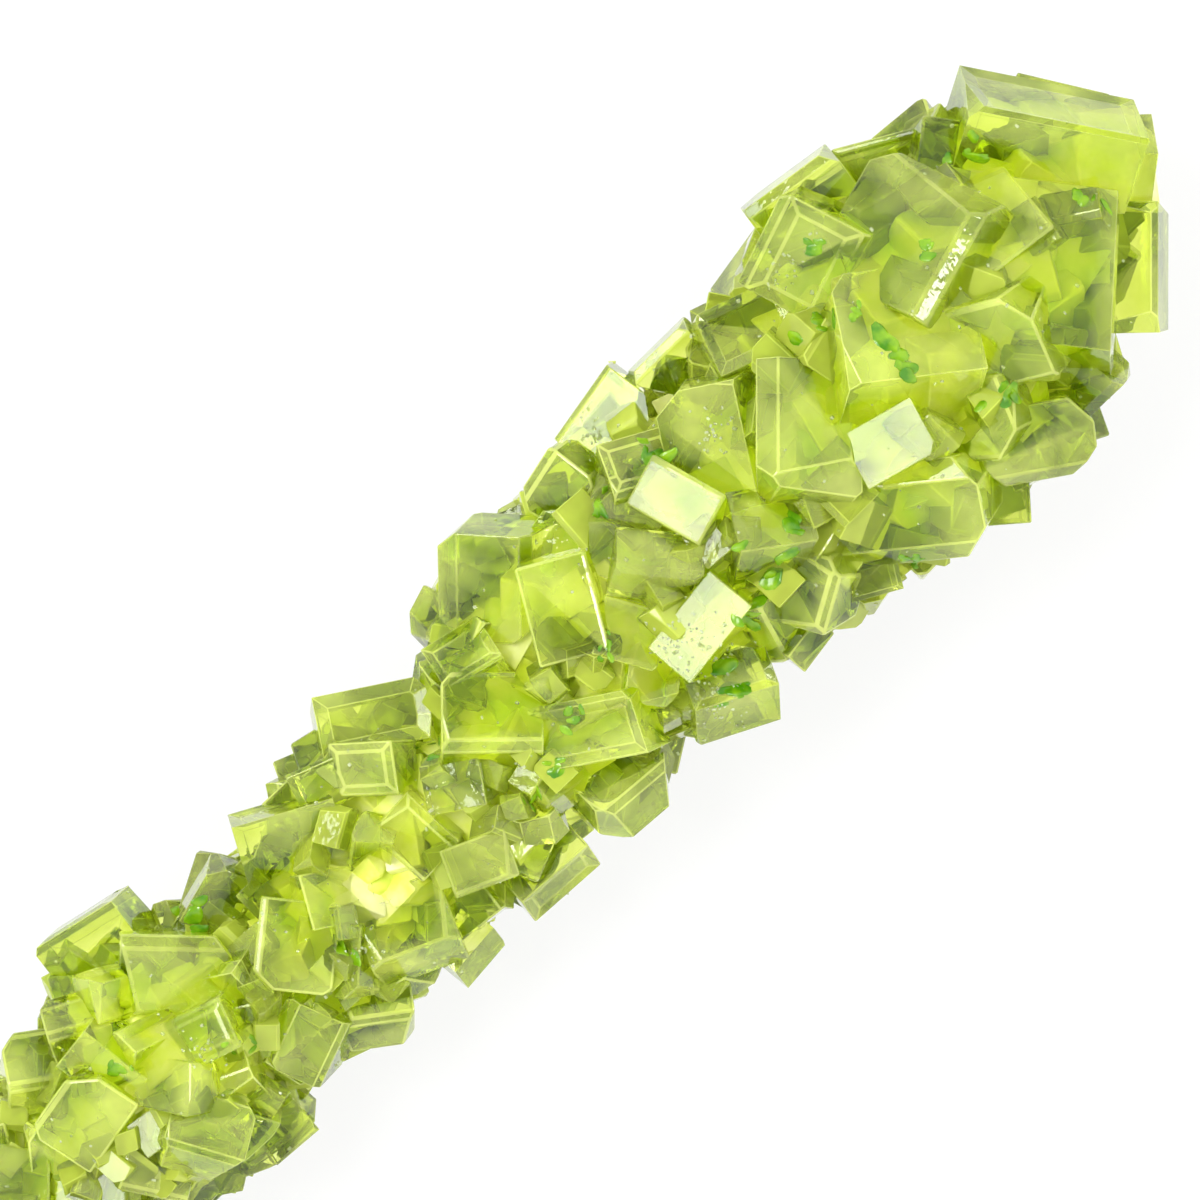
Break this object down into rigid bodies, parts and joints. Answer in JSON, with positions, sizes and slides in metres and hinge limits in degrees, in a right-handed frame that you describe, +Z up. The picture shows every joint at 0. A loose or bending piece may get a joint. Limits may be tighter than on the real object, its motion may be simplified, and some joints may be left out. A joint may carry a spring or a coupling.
{
  "type": "rock candy stick",
  "caption": "Lime green rock candy: fused clear sugar crystals grown round a plain birch stick, lying on its side.",
  "frame": {"origin": "middle of the underside of the object's box, on the surface it lies on", "axes": "+X along the stick towards the crystal tip, +Z up, +Y to the far side when the tip points right"},
  "size_m": [0.1626, 0.0252, 0.0245],
  "materials": {
    "sugar": "clear lime green sugar, glossy, cloudy inside",
    "birch": "plain sanded birch, unvarnished"
  },
  "bodies": {
    "root": {"crystals": "sugar", "stick": "birch"}
  },
  "joints": []
}
